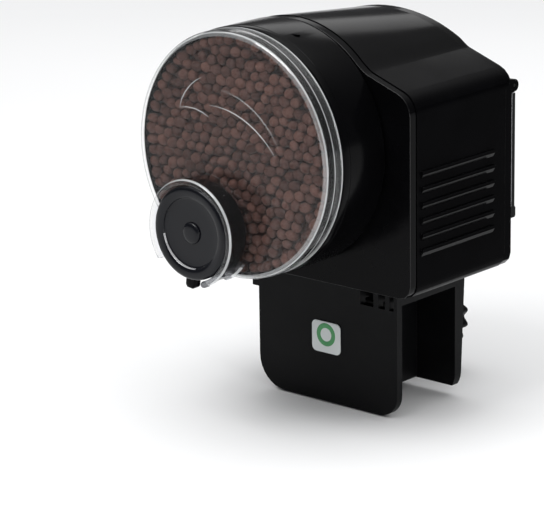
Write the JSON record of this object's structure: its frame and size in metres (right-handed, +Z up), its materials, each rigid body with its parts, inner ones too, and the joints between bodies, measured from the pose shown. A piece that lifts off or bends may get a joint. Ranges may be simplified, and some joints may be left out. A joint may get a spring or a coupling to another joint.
{
  "type": "automatic fish feeder",
  "caption": "Battery aquarium feeder: a turning clear-fronted pellet drum with a dial outlet on a black case, over a hook bracket with a screw clamp.",
  "frame": {"origin": "middle of the bracket's rim seat, the downward face that sits on the top edge of the tank wall", "axes": "+Z up; -Y points forward out of the drum, over the water; +X is the right side seen from the front; the drum turns about Y"},
  "size_m": [0.0874, 0.1014, 0.1163],
  "materials": {
    "case_gloss": "moulded gloss black",
    "bracket_satin": "moulded satin black",
    "clear": "clear moulded styrene",
    "window": "clear display window",
    "pellets": "mass of dry brown pellets, matt",
    "gear_plastic": "natural white acetal",
    "steel": "bright steel",
    "brass": "turned brass",
    "board": "green laminate with solder mask",
    "display": "liquid crystal glass, switched off",
    "keys": "moulded silicone keys",
    "pad": "soft pad",
    "cell": "plain printed sleeve, no mark",
    "label": "white vinyl label with a plain green ring"
  },
  "bodies": {
    "bracket": {"tank_bracket": "bracket_satin", "nut_insert": "brass", "round_label": "label"},
    "jaw": {"clamp_jaw": "bracket_satin", "jaw_pad": "pad"},
    "screw": {"clamp_screw": "steel", "clamp_knob": "bracket_satin"},
    "housing": {"front_cover": "case_gloss", "main_shell": "case_gloss", "rear_cover": "case_gloss", "lcd_window": "window", "lcd_module": "display", "circuit_board": "board", "tact_switch_1": "bracket_satin", "tact_switch_2": "bracket_satin", "tact_switch_3": "bracket_satin", "tact_switch_4": "bracket_satin", "battery_bay": "bracket_satin", "battery_cell_front": "cell", "battery_cell_rear": "cell", "contact_spring_front": "steel", "contact_spring_rear": "steel", "motor": "steel", "gearbox_plate": "gear_plastic", "output_bush": "brass", "gear_axle_lower": "steel", "gear_axle_upper": "steel", "buzzer": "bracket_satin", "case_screw_1": "steel", "case_screw_2": "steel", "case_screw_3": "steel", "case_screw_4": "steel"},
    "hub": {"drive_shaft": "steel", "output_gear": "gear_plastic"},
    "gear_lower": {"compound_gear_lower": "gear_plastic"},
    "gear_upper": {"compound_gear_upper": "gear_plastic"},
    "rotor": {"motor_pinion": "brass", "motor_shaft": "steel"},
    "drum": {"drum_cup": "case_gloss", "food_fill": "pellets"},
    "lid": {"drum_lid": "clear"},
    "dial": {"outlet_dial": "case_gloss", "dial_screw": "bracket_satin"},
    "flip": {"flip_cover": "clear", "flip_pin_left": "steel", "flip_pin_right": "steel"},
    "door": {"battery_door": "case_gloss", "bridge_contact": "brass"},
    "key_1": {"button_1": "keys"},
    "key_2": {"button_2": "keys"},
    "key_3": {"button_3": "keys"},
    "key_4": {"button_4": "keys"}
  },
  "joints": [
    {"name": "bracket_rail_slide", "type": "slide", "parent": "bracket", "child": "housing", "axis": [1, 0, 0], "range_m": [0, 0.055]},
    {"name": "jaw_advance", "type": "slide", "parent": "bracket", "child": "jaw", "axis": [0, -1, 0], "range_m": [0, 0.0112]},
    {"name": "screw_turn", "type": "hinge", "parent": "jaw", "child": "screw", "pos_m": [0, 0.0219, -0.0178], "axis": [0, -1, 0], "range_deg": [0, 4000]},
    {"name": "drum_spin", "type": "hinge", "parent": "housing", "child": "hub", "pos_m": [0, -0.0281, 0.048], "axis": [0, -1, 0], "continuous": true},
    {"name": "gear_lower_spin", "type": "hinge", "parent": "housing", "child": "gear_lower", "pos_m": [0.0175, -0.0191, 0.048], "axis": [0, -1, 0], "continuous": true},
    {"name": "gear_upper_spin", "type": "hinge", "parent": "housing", "child": "gear_upper", "pos_m": [0.01271, -0.0161, 0.06116], "axis": [0, -1, 0], "continuous": true},
    {"name": "motor_spin", "type": "hinge", "parent": "housing", "child": "rotor", "pos_m": [-0.00129, -0.0131, 0.06116], "axis": [0, -1, 0], "continuous": true},
    {"name": "drum_pull", "type": "slide", "parent": "hub", "child": "drum", "axis": [0, -1, 0], "range_m": [0, 0.03]},
    {"name": "lid_pull", "type": "slide", "parent": "drum", "child": "lid", "axis": [0, -1, 0], "range_m": [0, 0.03]},
    {"name": "dial_turn", "type": "hinge", "parent": "lid", "child": "dial", "pos_m": [-0.0077, -0.0591, 0.0267], "axis": [0, -1, 0], "range_deg": [-35, 20]},
    {"name": "flip_cover_open", "type": "hinge", "parent": "housing", "child": "flip", "pos_m": [0, 0.0178, 0.0608], "axis": [1, 0, 0], "range_deg": [0, 120]},
    {"name": "battery_door_pull", "type": "slide", "parent": "housing", "child": "door", "axis": [-1, 0, 0], "range_m": [0, 0.03]},
    {"name": "key_1_press", "type": "slide", "parent": "housing", "child": "key_1", "axis": [0, -1, 0], "range_m": [0, 0.001], "stiffness_N_per_m": 300, "springref_m": -0.0005},
    {"name": "key_2_press", "type": "slide", "parent": "housing", "child": "key_2", "axis": [0, -1, 0], "range_m": [0, 0.001], "stiffness_N_per_m": 300, "springref_m": -0.0005},
    {"name": "key_3_press", "type": "slide", "parent": "housing", "child": "key_3", "axis": [0, -1, 0], "range_m": [0, 0.001], "stiffness_N_per_m": 300, "springref_m": -0.0005},
    {"name": "key_4_press", "type": "slide", "parent": "housing", "child": "key_4", "axis": [0, -1, 0], "range_m": [0, 0.001], "stiffness_N_per_m": 300, "springref_m": -0.0005}
  ],
  "couplings": [
    {"joint": "jaw_advance", "follows": "screw_turn", "m_per_rad": 0.00015915},
    {"joint": "gear_lower_spin", "follows": "drum_spin", "ratio": -4},
    {"joint": "gear_upper_spin", "follows": "drum_spin", "ratio": 12},
    {"joint": "motor_spin", "follows": "drum_spin", "ratio": -36}
  ]
}
